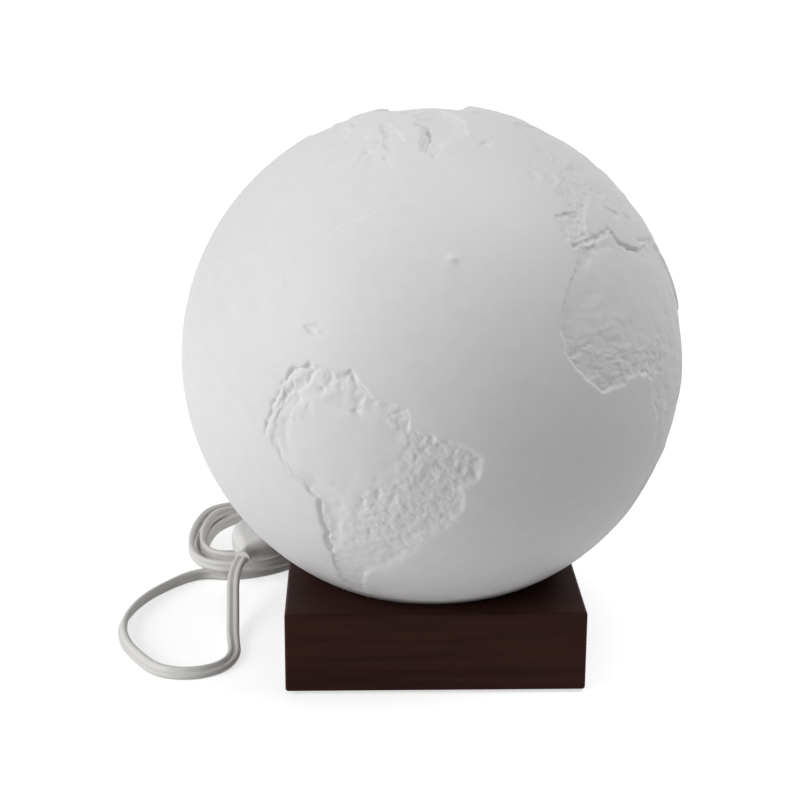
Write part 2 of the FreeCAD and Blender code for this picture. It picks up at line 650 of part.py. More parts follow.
def coil_point(turn):
    """Centre of the cord after so many turns: in along the upper layer, then out along the lower one."""
    angle = -2 * math.pi * turn
    offset = coil_inner_offset + coil_pitch * abs(turn - turns_in)
    drop = min(max((turn - turns_in) / drop_turns + 0.5, 0), 1)
    drop = drop * drop * (3 - 2 * drop)
    side = angle - lean
    fullness = 1 + coil_blunt * math.sin(side) ** 2
    x = coil_centre[0] + (coil_mean_width / 2 + offset) * math.cos(side) * fullness
    y = coil_centre[1] + (coil_mean_length / 2 + offset) * math.sin(angle)
    return Vector(x, y, cord_high - drop * layer_pitch)


def coil_heading(turn):
    """Direction of the cord there. Both ends run straight out along X or Y."""
    step = 1e-4
    heading = (coil_point(turn + step) - coil_point(turn - step)).normalize()
    if turn in (0, turns_in + turns_out):
        heading = Vector(round(heading.x), round(heading.y), 0)
    return heading


def tangent_arc(start, heading, end):
    chord = end - start
    half_turn = heading.getAngle(chord)
    bulge = heading - chord * (heading.dot(chord) / chord.dot(chord))
    middle = (start + end) * 0.5 + bulge.normalize() * (chord.Length / 2 * math.tan(half_turn / 2))
    return Part.Arc(start, middle, end).toShape()


def biarc(start, heading, end, end_heading):
    """Two arcs that leave start along heading, meet smoothly, and reach end along end_heading."""
    chord = end - start
    both = heading + end_heading
    spread = 2 * (1 - heading.dot(end_heading))
    across = chord.dot(both)
    reach = (-across + math.sqrt(across * across + spread * chord.dot(chord))) / spread
    meet = (start + end + (heading - end_heading) * reach) * 0.5
    return [tangent_arc(start, heading, meet), tangent_arc(end, end_heading * -1, meet)]


def coil_wire():
    stations = [quarter / 4 for quarter in range(round(4 * (turns_in + turns_out)) + 1)]
    edges = []
    for turn, following in zip(stations, stations[1:]):
        edges += biarc(coil_point(turn), coil_heading(turn), coil_point(following), coil_heading(following))
    first = coil_point(0)
    last = coil_point(stations[-1])
    begin = first - coil_heading(0) * cord_width
    finish = last + coil_heading(stations[-1]) * cord_width
    tightest = min(edge.Curve.Radius for edge in edges)
    print(f"cord_coil: bend radius at least {tightest:.0f} mm")
    edges = [Part.LineSegment(begin, first).toShape()] + edges + [Part.LineSegment(last, finish).toShape()]
    return Part.Wire(edges), begin, finish


def least_gap(wire):
    """Smallest gap between turns of the coil, from points about a millimetre apart."""
    points = wire.discretize(Number=round(wire.Length))
    apart = round(coil_mean_width)
    straight = cord_width - cord_thickness
    gap = cord_width
    for index, point in enumerate(points):
        for other in points[index + apart:]:
            level = math.hypot(point.x - other.x, point.y - other.y)
            if level < 2 * cord_width:
                height = max(abs(point.z - other.z) - straight, 0)
                gap = min(gap, math.hypot(level, height) - cord_thickness)
    return gap


# Lampholder and bulb

def holder_insert():
    insert = disc(insert_radius, insert_low, insert_high)
    holes = [disc(terminal_radius + hole_gap, insert_low, insert_high, x, y) for x, y in terminal_places()]
    return insert.cut(holes)


def terminal_places():
    return [(side * terminal_reach * wire_side.x, side * terminal_reach * wire_side.y) for side in (1, -1)]


def terminal_screws():
    for x, y in terminal_places():
        head = disc(terminal_head_radius, insert_low - pan_head_height, insert_low, x, y)
        yield head.fuse(disc(terminal_radius, insert_low, insert_high - hole_spare, x, y)).removeSplitter()


def holder_contact():
    """Spring tongue that presses on the tip of the bulb."""
    under_tip = tongue_rise - tongue_thickness
    profile = [
        (-3, 0), (3, 0), (3.4, 0.5), (0.6, tongue_rise), (-2.2, tongue_rise), (-2.2, under_tip),
        (0.2, under_tip), (2.4, tongue_thickness), (-3, tongue_thickness),
    ]
    corners = [Vector(x, -contact_width / 2, insert_high + height) for x, height in profile]
    return Part.Face(Part.makePolygon(corners + corners[:1])).extrude(Vector(0, contact_width, 0))


def lead_wire(side):
    """One conductor, from the end of the cord in the pocket, up the stem and out to its terminal."""
    offset = wire_side * (side * wire_spread)
    corners = [
        Vector(exit_x, tail_start, exit_z + side * cord_width / 4),
        Vector(exit_x, tail_start - wire_straight, exit_z + side * cord_width / 4),
        Vector(exit_x * wire_bend, tail_start * wire_bend, wire_floor) + offset,
        Vector(0, 0, wire_floor) + offset,
        Vector(0, 0, insert_low - wire_fan) + offset,
        wire_side * (side * wire_end) + up * (insert_low - pan_head_height),
    ]
    path = route_wire("lead wire", corners)
    first = path.OrderedEdges[0]
    circle = Part.Circle(corners[0], first.tangentAt(first.FirstParameter), wire_radius)
    maker = Part.BRepOffsetAPI.MakePipeShell(path)
    maker.add(Part.Wire(circle.toShape()))
    maker.build()
    maker.makeSolid()
    return maker.shape()


def bulb_leds():
    for index in range(led_count):
        angle = 360 * index / led_count
        chip = Part.makeBox(led_size, led_size, led_height)
        chip.translate(Vector(led_circle - led_size / 2, -led_size / 2, board_top))
        chip.rotate(origin, up, angle)
        yield chip


def bulb_diffuser():
    centre = Vector(0, 0, board_low + math.sqrt(bulb_radius**2 - neck_radius**2))
    dome = Part.makeSphere(bulb_radius, centre).cut(Part.makeSphere(bulb_radius - bulb_wall, centre))
    return dome.cut(disc(2 * bulb_radius, board_low - bulb_radius, board_low))


# Inline switch

def switch_place(shape):
    shape.translate(Vector(switch_centre[0], switch_centre[1], 0))
    return shape


def switch_body():
    body = rounded_block(switch_length, switch_width, switch_round, 0, switch_height)
    flat = [face for face in body.Faces if abs(face.normalAt(0, 0).z) > 0.9]
    return body.makeFillet(switch_edge, [edge for face in flat for edge in face.Edges])


def switch_cavity():
    width = switch_length - 2 * switch_end_wall
    depth = switch_width - 2 * switch_side_wall
    return rounded_block(width, depth, switch_wall, switch_wall, switch_height - switch_wall)


def screw_posts(low, high):
    for x in (-post_reach, post_reach):
        yield disc(post_radius, low, high, x).cut(disc(screw_hole_radius, low, high, x))


def switch_half(low, high, cavity_low, cavity_high):
    size = 2 * switch_length
    slab = Part.makeBox(size, size, high - low, Vector(-size / 2, -size / 2, low))
    shell = switch_body().common(slab).cut(switch_cavity())
    return shell.fuse(list(screw_posts(cavity_low, cavity_high))).removeSplitter()


def switch_lower():
    shell = switch_half(0, switch_split, switch_wall, switch_split)
    for x in (-post_reach, post_reach):
        shell = shell.cut(disc(screw_hole_radius, 0, switch_wall, x))
        shell = shell.cut(Part.makeCone(screw_head_radius, screw_radius, screw_head_height, Vector(x, 0, 0)))
    return switch_place(shell)


def switch_upper():
    shell = switch_half(switch_split, switch_height, switch_split, switch_height - switch_wall)
    window_length = rocker_length + 2 * rocker_room
    window_width = rocker_width + 2 * rocker_side_gap
    corner = Vector(-window_length / 2, -window_width / 2, switch_split)
    shell = shell.cut(Part.makeBox(window_length, window_width, switch_height, corner))
    for side in (-1, 1):
        near = window_width / 2 if side > 0 else -window_width / 2 - lug_thickness
        low = rocker_pivot_z - lug_width / 2
        corner = Vector(-lug_width / 2, near, low)
        lug = Part.makeBox(lug_width, lug_thickness, switch_height - switch_wall - low, corner)
        shell = shell.fuse(lug)
    reach = window_width / 2 + lug_thickness
    bearing = rod_y(rocker_pin_radius + pin_gap, -reach, reach, 0, rocker_pivot_z)
    return switch_place(shell.cut(bearing).removeSplitter())


def switch_rocker():
    half = rocker_length / 2
    foot = half - 1
    profile = [(-foot, -1.2), (foot, -1.2), (half, 0.8), (half, 5.2), (0, 4.1), (-half, 5.2), (-half, 0.8)]
    corners = [Vector(x, -rocker_width / 2, rocker_pivot_z + z) for x, z in profile]
    key = Part.Face(Part.makePolygon(corners + corners[:1])).extrude(Vector(0, rocker_width, 0))
    key.rotate(Vector(0, 0, rocker_pivot_z), along_y, rocker_tilt)
    pin_half = rocker_width / 2 + lug_thickness
    pin = rod_y(rocker_pin_radius, -pin_half, pin_half, 0, rocker_pivot_z)
    return switch_place(key.fuse(pin).removeSplitter())


def switch_contacts():
    """Two bent brass strips on the floor of the switch, one under each end of the rocker."""
    for side in (-1, 1):
        corner = Vector(strip_reach, -contact_width / 2, switch_wall)
        foot = Part.makeBox(strip_length, contact_width, strip_thickness, corner)
        blade = Part.makeBox(strip_thickness, contact_width, strip_height, corner)
        strip = foot.fuse(blade).removeSplitter()
        strip.rotate(origin, up, 0 if side > 0 else 180)
        yield switch_place(strip)


def switch_screws():
    for x in (-post_reach, post_reach):
        yield switch_place(countersunk_screw(x, 0, 0, switch_screw_length))


# Plug

def plug_placement():
    turn = Rotation(up, plug_heading)
    tip = Rotation(along_y, -plug_rise)
    return Placement(plug_tail, turn.multiply(tip))


def plug_body():
    """Moulded plug: a flattened grip that narrows to the cord."""
    stand = Rotation(along_y, 90)
    sections = []
    for reach, width, height, corner in plug_sections:
        place = Placement(Vector(reach * plug_length, 0, 0), stand)
        sections.append(rounded_outline(height, width, corner, place))
    body = Part.makeLoft(sections, True, False)
    body.Placement = plug_placement()
    return body


def plug_blades():
    for side in (-1, 1):
        corner = Vector(plug_length, side * blade_spacing / 2 - blade_thickness / 2, -blade_width / 2)
        blade = Part.makeBox(blade_length, blade_thickness, blade_width, corner)
        eye_x = plug_length + blade_hole_reach
        blade = blade.cut(rod_y(blade_hole_radius, -blade_spacing, blade_spacing, eye_x, 0))
        tip = plug_length + blade_length
        ends = [edge for edge in blade.Edges if abs(edge.CenterOfMass.x - tip) < 1e-6
                and abs(edge.Length - blade_thickness) < 1e-6]
        blade = blade.makeChamfer(blade_thickness, ends)
        blade.Placement = plug_placement()
        yield blade


save("globe_shell", globe_shell())
save("base_block", base_block())
save("felt_pad", rounded_block(felt_width, felt_width, felt_inset, 0, felt_thickness))
save("bottom_cover", bottom_cover())
save("cover_screws", *cover_screws())
save("strain_relief", strain_relief())
save("cord_clamp", cord_clamp())
save("clamp_screws", *clamp_screws())

save("threaded_nipple", disc(stem_radius, stem_low, stem_high).cut(disc(stem_bore, stem_low, stem_high)))
washer_hole = disc(stem_hole_radius, washer_low, pocket_ceiling)
save("nipple_washer", disc(washer_radius, washer_low, pocket_ceiling).cut(washer_hole))
lower_nut = hex_nut(nut_size, nut_bore, washer_low - nut_height, washer_low)
upper_nut = hex_nut(nut_size, nut_bore, cap_floor, cap_floor + nut_height)
save("nipple_nuts", lower_nut, upper_nut)
save("holder_cap", turned(cap_profile))
save("holder_insert", holder_insert())
save("holder_skirt", turned(skirt_profile))
save("holder_shell", turned(shell_profile))
save("holder_contact", holder_contact())
save("terminal_screws", *terminal_screws())
save("lead_wire_live", lead_wire(1))
save("lead_wire_neutral", lead_wire(-1))

save("bulb_contact", turned(bulb_contact_profile))
save("bulb_insulator", turned(bulb_insulator_profile))
save("bulb_cap", turned(bulb_cap_profile))
save("bulb_neck", turned(bulb_neck_profile))
save("bulb_board", disc(board_radius, board_low, board_top))
save("bulb_leds", *bulb_leds())
save("bulb_diffuser", bulb_diffuser())

save("switch_lower", switch_lower())
save("switch_upper", switch_upper())
save("switch_rocker", switch_rocker())
save("switch_contacts", *switch_contacts())
save("switch_screws", *switch_screws())

tail_section = Part.Face(cord_section(Vector(exit_x, tail_start, exit_z), along_y))
save("cord_tail", tail_section.extrude(along_y * (half_base + relief_length - tail_start)))
coil_path, coil_begin, coil_finish = coil_wire()
print(f"cord_coil: least gap to itself {least_gap(coil_path):.2f} mm")
save("cord_lead", sweep_cord("cord_lead", route_wire("cord_lead", lead_points)))
save("cord_link", sweep_cord("cord_link", route_wire("cord_link", link_points + [coil_begin])))
save("cord_coil", sweep_cord("cord_coil", coil_path))
save("cord_loop", sweep_cord("cord_loop", route_wire("cord_loop", [coil_finish] + loop_points)))
save("plug_body", plug_body())
save("plug_blades", *plug_blades())
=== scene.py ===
import math

import bmesh
import bpy
import numpy as np
from mathutils import Matrix, Vector, noise
from mathutils.bvhtree import BVHTree


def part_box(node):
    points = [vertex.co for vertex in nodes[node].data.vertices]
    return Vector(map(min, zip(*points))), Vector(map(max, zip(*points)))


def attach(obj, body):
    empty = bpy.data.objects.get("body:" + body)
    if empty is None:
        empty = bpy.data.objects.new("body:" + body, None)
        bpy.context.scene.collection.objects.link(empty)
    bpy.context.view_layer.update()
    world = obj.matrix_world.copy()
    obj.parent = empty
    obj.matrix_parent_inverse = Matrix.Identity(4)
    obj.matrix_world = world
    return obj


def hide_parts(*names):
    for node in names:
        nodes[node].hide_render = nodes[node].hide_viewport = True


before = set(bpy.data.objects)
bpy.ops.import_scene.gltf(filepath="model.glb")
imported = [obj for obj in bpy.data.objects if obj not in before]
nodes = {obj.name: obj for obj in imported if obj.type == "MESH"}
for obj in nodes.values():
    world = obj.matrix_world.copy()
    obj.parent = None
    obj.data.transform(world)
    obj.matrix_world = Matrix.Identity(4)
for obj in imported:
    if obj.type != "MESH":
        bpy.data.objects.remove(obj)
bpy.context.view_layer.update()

# A globe table lamp on a white table. Metres, in the frame of the solids: +Z is up and the front is -Y.
MM = 0.001
up = Vector((0, 0, 1))
sharp_edge = math.radians(60)

# Camera, fitted to the photograph's frame of 800 by 800
camera_place = Vector((-0.0304, -0.6756, 0.3035))
camera_target = Vector((-0.0128, 0.0, 0.1022))
camera_roll = math.radians(0.22)
camera_lens = 78.3

# Light and floor: lamps as directions from the globe and watts
world_light = 0.11
lamps = {"key": ((-0.86, -0.40, 0.32), 8.8), "top": ((0.42, -0.10, 0.90), 7.4)}
lamp_distance = 1.2
lamp_size = 0.9
floor_half = 6.0
floor_colour = 0.78
floor_lift = (0.64, 0.94)  # glow of the floor near the lamp and far from it
floor_lift_reach = (0.3, 1.2)  # distances between which the glow grows

# Cord: flat twin, standing on edge in the coil and rolling over flat towards the plug
cord_width = 5.4 * MM
cord_thickness = 2.7 * MM
lobe_opening = math.radians(50)  # where each round conductor gives way to the waist between the two
lobe_points = 9
cord_resolution = 8
cord_low = 0.0028
cord_high = 0.0087
lead_route = [
    (0.020, 0.0825, 0.0085), (0.020, 0.092, 0.0085), (0.0246, 0.1016, 0.0066), (0.035, 0.1086, 0.0042),
    (0.0464, 0.1149, 0.0032), (0.0577, 0.1231, 0.0029), (0.0614, 0.1345, 0.0032), (0.0577, 0.146, 0.0048),
    (0.0482, 0.153, 0.0072), (0.036, 0.153, 0.0072),
]
link_route = [
    (-0.012, 0.153, 0.0072), (-0.021, 0.153, 0.0072), (-0.0315, 0.1494, 0.0076), (-0.040, 0.1405, 0.0082),
    (-0.0410, 0.123, cord_high),
]
loop_route = [
    (-0.0935, 0.0588, cord_low), (-0.1005, 0.0595, cord_low), (-0.1072, 0.0550, cord_low),
    (-0.1145, 0.0460, cord_low), (-0.122, 0.0345, cord_low), (-0.1275, 0.020, 0.0027),
    (-0.1298, 0.003, 0.0027), (-0.1265, -0.0145, 0.0026), (-0.118, -0.0307, 0.0026),
    (-0.1096, -0.0417, 0.0025), (-0.0959, -0.0444, 0.0024), (-0.084, -0.037, 0.0020),
    (-0.0801, -0.024, 0.0017), (-0.0822, -0.009, 0.0020), (-0.0832, 0.009, 0.005),
    (-0.0844, 0.0296, 0.0169), (-0.081, 0.040, 0.0177),
]
# How far the cord has rolled over at each point of the loop, in degrees: 0 on edge, 90 flat
loop_rolls = [0, 5, 12, 18, 22, 25, 28, 30, 34, 38, 44, 58, 76, 88, 90, 90, 90]
coil_centre = (-0.0765, 0.1065)
# Half the mean turn on each side of the centre, and how far the turns spread there for each step of the pitch
coil_right = (0.0305, 1.0)
coil_left = (0.0255, 1.09)
coil_near = (0.0388, 2.5)
coil_far = (0.0375, 1.5)
coil_low_left = 0.0034  # how much further the lower turns reach to the left, and to the right
coil_low_right = -0.0022
coil_far_drop = 0.85  # share of the layers' difference in height that is lost where the turns lie apart
coil_far_from = 0.4  # sine of the angle from which the turns lie apart
coil_blend = 0.5  # sine or cosine over which one side of a turn passes into the other
coil_lean = math.radians(16.4)
coil_blunt = 0.25  # how much fuller than an ellipse the turns are between the ends and the sides
coil_pitch = 0.0044
coil_inner_offset = -0.0036
turns_in = 2.5
turns_out = 1.75
drop_turn = 2.25  # where the cord goes down to the lower layer, and the turns that this takes
drop_turns = 0.3
points_per_turn = 16

# Bulb cap with its screw thread: radius and height above the cap's lower end, in millimetres
cap_profile = [(5.6, 0.0), (5.9, 0.6), (5.9, 15.5), (7.2, 17.0), (7.2, 18.5)]
cap_rings = 111
cap_sides = 48
thread_start = 1.2
thread_end = 15.2
thread_pitch = 2.54
thread_depth = 0.45

# Globe: a ball whose land is sunk into it, the deeper the higher the real ground
globe_radius = 100 * MM
globe_centre = Vector((0, 0, 120.95 * MM))
globe_inner_radius = 96 * MM
mouth_radius = 34 * MM
rim_radius = 38 * MM
front_longitude = -43.2
coast_depth = 0.2 * MM  # in the solid, what lies deeper is land
scarp_depth = 1.6 * MM  # in the solid, what lies deeper is mountain
inner_band = 1 * MM  # in the solid, faces this near to the inner ball or to the rim's plane aren't ground
rim_band = 0.1 * MM
ray_start = 1.2  # in radii

# Globe's mesh
inner_rings = 20
sea_subdivisions = 6
refinements = 3
coast_margin = 2.4 * MM  # strip on both sides of a coast that is meshed finely
margin_shares = (1.1, 0.8, 0.5)  # how much of it is taken in each refinement
least_coast = 0.1  # ground shallower than this, in millimetres, needs no fine coast
least_mark = 0.05 * MM  # grooves and pits deeper than this are meshed finely
rough_ground = (0.3, 0.68922)  # ground rougher than this is too, in the second and third refinement
finest_facing = 0.5  # least cosine to the front at which ground gets the third refinement
hidden_below = -0.85  # height, as a share of the radius, below which the base hides the ground

# Globe's relief. Heights and depths are in millimetres, and sizes are those of the noise's features.
coast_seed = 3  # fixes how the coasts wander, which would otherwise differ from run to run
coast_waves = [(9, 1.1), (3.2, 1.0)]  # size and reach of the coasts' wandering, in millimetres
shore_ends = (-0.4, 0.6)  # start and end of a shore, as shares of its width, inland of the coast
hill_ends = (-1.5 * MM, 2.0 * MM)  # start and end of the slope at a mountain's edge
lump_size = 3 * MM
swell_size = 8 * MM
swell_share = 0.4
rubble_size = 3.1 * MM
rubble_fractal = (0.9, 2.1, 3)  # falling-off, step in size and number of layers of noise
rubble_height = 0.36
hollow_size = 2.7 * MM
hollow_least = 0.12
hollow_depth = 0.85
terrace_size = (5 * MM, 5 * MM, 1.5 * MM)
terrace_height = 0.5
terrace_place = (-2, 11, 11)  # longitude, latitude and reach of the stepped ground of west Africa
deepest_ground = 3 * MM
default_weight = 0.15  # of the default ground and shore, against the regions' own
mountain_step = 1.2  # from land down to mountains in the solid, in millimetres
default_ground = (0.8, 0.6, 0.8)
# longitude, latitude and reach in degrees, depth below the sea in millimetres, roughness, and the share of
# the solid's mountain step that shows there
grounds = {
    "amazon": (-63, -4, 8, 0.22, 0.0, 0.2),
    "xingu": (-58, -5, 6, 0.25, 0.05, 0.1),
    "llanos": (-68, 6, 3, 0.35, 0.3, 0.2),
    "north_andes": (-76, 5, 4, 0.5, 1.2, 0.2),
    "north_coast": (-67, 10, 3, 0.5, 1.3, 0.2),
    "guiana": (-60, 5, 3, 0.4, 0.9, 0.2),
    "amapa": (-52, 2, 3, 0.5, 1.4, 0.1),
    "para": (-48, -2, 3, 0.55, 1.4, 0.1),
    "northeast_brazil": (-41, -7, 5, 0.6, 1.3, 0.1),
    "tocantins": (-50, -9, 4, 0.55, 0.9, 0.1),
    "east_brazil": (-45, -14, 7, 0.65, 0.9, 0.1),
    "south_brazil": (-51, -25, 7, 0.5, 0.8, 0.1),
    "mato_grosso": (-57, -15, 4, 0.5, 0.9, 0.1),
    "bolivia": (-64, -17, 3, 0.5, 0.7, 0.2),
    "chaco": (-61, -23, 5, 0.5, 0.7, 0.1),
    "altiplano": (-68, -20, 3, 0.5, 0.2, 0.4),
    "peru": (-75, -9, 4, 0.3, 0.1, 0.2),
    "pampas": (-63, -33, 6, 0.5, 0.6, 0.2),
    "patagonia": (-69, -45, 7, 0.6, 0.6, 0.6),
    "west_sahara": (-11, 22, 6, 1.0, 0.35, 0.2),
    "sahara": (6, 24, 10, 0.75, 0.15, 0.3),
    "senegal": (-14, 14, 4, 0.9, 0.9, 0.2),
    "west_africa": (-4, 9, 7, 0.9, 0.8, 0.2),
    "cameroon": (10, 7, 7, 0.9, 0.9, 0.4),
    "ethiopia": (37, 11, 11, 0.8, 0.6, 0.2),
    "anatolia": (36, 39, 7, 0.4, 0.8, 0.1),
    "iberia": (-4, 41, 5, 0.45, 1.0, 0.1),
    "europe": (12, 47, 9, 0.35, 1.0, 0.1),
    "ukraine": (32, 51, 9, 0.35, 0.6, 0.1),
    "scandinavia": (12, 62, 7, 0.5, 0.8, 0.3),
    "britain": (-3, 54, 4, 0.05, 0.1, 0.0),
    "iceland": (-18.5, 65, 3, 0.5, 0.5, 0.3),
    "greenland": (-40, 72, 9, 0.4, 0.2, 0.4),
    "arctic": (120, 86, 14, 1.0, 0.1, 1.0),
    "ungava": (-68, 60, 3, 0.6, 1.5, 0.2),
    "baffin": (-72, 67, 6, 0.8, 1.8, 0.3),
    "boothia": (-95, 69, 6, 0.7, 1.7, 0.3),
    "parry": (-105, 76, 6, 0.8, 1.4, 0.5),
    "quebec": (-72, 52, 6, 0.04, 0.05, 0.0),
    "labrador": (-62, 55, 4, 0.04, 0.05, 0.0),
    "italy": (12.5, 43, 3, 0.15, 0.5, 0.0),
    "newfoundland": (-56, 48, 4, 0.03, 0.0, 0.0),
    "ontario": (-86, 51, 6, 0.04, 0.0, 0.0),
    "central_plains": (-90, 38, 12, 0.06, 0.0, 0.0),
    "appalachians": (-80, 38.5, 3, 0.2, 0.15, 0.1),
    "florida": (-83, 29, 3, 0.12, 0.1, 0.0),
    "mexico": (-102, 22, 8, 0.04, 0.0, 0.0),
    "central_america": (-86, 13, 6, 0.03, 0.0, 0.0),
    "california": (-117, 33, 6, 0.08, 0.1, 0.1),
    "cuba": (-78, 21.5, 3, 0.03, 0.0, 0.0),
    "hispaniola": (-71, 19, 2, 0.2, 1.2, 0.0),
    "prairies": (-105, 52, 10, 0.12, 0.15, 0.1),
    "rockies": (-114, 43, 6, 0.45, 0.5, 0.3),
    "coast_mountains": (-128, 56, 8, 0.6, 0.7, 0.4),
}
default_shore = 0.9
# longitude, latitude and reach in degrees, width of the slope between coast and floor in millimetres
slopes = {
    "east_brazil": (-38, -11, 8, 3.2),
    "southeast_brazil": (-46, -25, 8, 6.0),
    "uruguay": (-55, -35, 6, 5.5),
    "peru": (-79, -10, 5, 2.4),
    "guinea": (-5, 5, 9, 1.9),
    "gabon": (10, 1, 7, 1.7),
    "west_sahara": (-15, 22, 8, 1.2),
}
# half width and depth in millimetres, raggedness, and the line as longitudes and latitudes
grooves = {
    "west_cordillera": (0.8, 0.7, 1.4, [(-83, -5), (-81, 0), (-78, 7.5), (-75.5, 10), (-71, 11.5)]),
    "east_cordillera": (0.8, 0.6, 1.4, [(-81, -1), (-77, 5), (-73.5, 6.5), (-71, 10)]),
    "coast_range": (0.8, 0.6, 1.4, [(-69, 6.5), (-65, 9.5), (-62.5, 10.5), (-61, 8)]),
    "peru_coast": (0.6, 0.25, 1.4, [(-79.5, -5.5), (-78, -13.5), (-74, -14.5), (-71, -18)]),
    "chile": (0.8, 1.6, 0.3, [(-71, -18.5), (-71, -23.5), (-71, -28), (-72, -33)]),
    "atlas": (0.9, 1.0, 1.2, [(-7, 35.5), (-2, 36), (4, 36.8), (9, 37.3), (10, 35.7), (9.7, 34.3)]),
    "tripoli": (0.8, 0.9, 1.2, [(9.7, 34.3), (13, 32.6), (17, 30.8)]),
    "cyrenaica": (0.8, 0.9, 1.0, [(20.5, 32.8), (26, 31.8), (31, 31)]),
    "west_greenland": (1.1, 1.5, 1.2, [(-60, 74.5), (-51, 73), (-49, 66.5), (-50, 63.5)]),
}
# depth and half width in millimetres, longitude and latitude; the seamount stands up from the sea
pits = {
    "roraima": (1.0, 1.3, -61.5, 3.5),
    "cantabria": (0.5, 1.2, -5, 43),
    "aragon": (0.5, 1.1, -1.5, 40.3),
    "parry": (0.9, 1.6, -107, 76),
    "foxe": (1.0, 1.4, -77.5, 69.7),
    "nettilling": (1.0, 1.3, -75.5, 65.5),
    "resolution": (0.9, 1.2, -65.5, 60.6),
    "ungava": (0.9, 1.3, -78.5, 62.6),
    "rae": (0.9, 1.4, -97, 68.3),
    "seamount": (-0.8, 2.1, -41.2, 34.3),
}


def link(name, data):
    thing = bpy.data.objects.new(name, data)
    bpy.context.scene.collection.objects.link(thing)
    return thing


def smoothstep(low, high, value):
    share = min(max((value - low) / (high - low), 0.0), 1.0)
    return share * share * (3 - 2 * share)


# Camera, floor and light

def make_camera():
    data = bpy.data.cameras.new("camera")
    data.lens = camera_lens
    data.sensor_width = 36.0
    data.clip_start = 0.01
    camera = link("camera", data)
    turn = (camera_target - camera_place).to_track_quat("-Z", "Y").to_matrix().to_4x4()
    camera.matrix_world = Matrix.Translation(camera_place) @ turn @ Matrix.Rotation(camera_roll, 4, "Z")
    bpy.context.scene.camera = camera


def area_light(name, direction, power):
    """Round soft light in that direction from the globe's centre, facing the globe."""
    data = bpy.data.lights.new(name, "AREA")
    data.shape = "DISK"
    data.size = lamp_size
    data.energy = power
    light = link(name, data)
    light.location = globe_centre + Vector(direction).normalized() * lamp_distance
    light.rotation_euler = (globe_centre - light.location).to_track_quat("-Z", "Y").to_euler()


def set_range(node, source, result):
    """Makes a Map Range node turn the source's low and high value into the result's."""
    node.inputs["From Min"].default_value = source[0]
    node.inputs["From Max"].default_value = source[1]
    node.inputs["To Min"].default_value = result[0]
    node.inputs["To Max"].default_value = result[1]


def seen_directly(tree):
    """1 where the camera, a reflection or clear glass looks, and 0 where light is gathered."""
    path = tree.nodes.new("ShaderNodeLightPath")
    total = path.outputs["Is Camera Ray"]
    for other in ("Is Glossy Ray", "Is Transmission Ray"):
        either = tree.nodes.new("ShaderNodeMath")
        either.operation = "MAXIMUM"
        tree.links.new(total, either.inputs[0])
        tree.links.new(path.outputs[other], either.inputs[1])
        total = either.outputs[0]
    return total


def make_world():
    world = bpy.data.worlds.new("world")
    world.use_nodes = True
    bpy.context.scene.world = world
    tree = world.node_tree
    light = tree.nodes["Background"]
    light.inputs["Color"].default_value = (1, 1, 1, 1)
    light.inputs["Strength"].default_value = world_light
    white = tree.nodes.new("ShaderNodeBackground")
    white.inputs["Color"].default_value = (1, 1, 1, 1)
    mix = tree.nodes.new("ShaderNodeMixShader")
    tree.links.new(seen_directly(tree), mix.inputs["Fac"])
    tree.links.new(light.outputs[0], mix.inputs[1])
    tree.links.new(white.outputs[0], mix.inputs[2])
    tree.links.new(mix.outputs[0], tree.nodes["World Output"].inputs["Surface"])


def make_floor():
    """Pale table. It glows a little where it is looked at, the more the further from the lamp, so that
    it is white outside the lamp's shadow."""
    mesh = bpy.data.meshes.new("floor")
    corners = [(x * floor_half, y * floor_half, 0) for x, y in ((-1, -1), (1, -1), (1, 1), (-1, 1))]
    mesh.from_pydata(corners, [], [(0, 1, 2, 3)])
    floor = link("floor", mesh)
    material = bpy.data.materials.new("floor")
    material.use_nodes = True
    tree = material.node_tree
    shader = tree.nodes["Principled BSDF"]
    shader.inputs["Base Color"].default_value = (floor_colour, floor_colour, floor_colour, 1)
    shader.inputs["Roughness"].default_value = 1.0
    shader.inputs["Specular IOR Level"].default_value = 0.0
    glow = tree.nodes.new("ShaderNodeEmission")
    place = tree.nodes.new("ShaderNodeTexCoord")
    distance = tree.nodes.new("ShaderNodeVectorMath")
    distance.operation = "LENGTH"
    tree.links.new(place.outputs["Object"], distance.inputs[0])
    lift = tree.nodes.new("ShaderNodeMapRange")
    lift.interpolation_type = "SMOOTHSTEP"
    set_range(lift, floor_lift_reach, floor_lift)
    tree.links.new(distance.outputs["Value"], lift.inputs["Value"])
    scale = tree.nodes.new("ShaderNodeMath")
    scale.operation = "MULTIPLY"
    tree.links.new(lift.outputs[0], scale.inputs[1])
    tree.links.new(seen_directly(tree), scale.inputs[0])
    tree.links.new(scale.outputs[0], glow.inputs["Strength"])
    both = tree.nodes.new("ShaderNodeAddShader")
    tree.links.new(shader.outputs[0], both.inputs[0])
    tree.links.new(glow.outputs[0], both.inputs[1])
    tree.links.new(both.outputs[0], tree.nodes["Material Output"].inputs["Surface"])
    mesh.materials.append(material)


# Materials

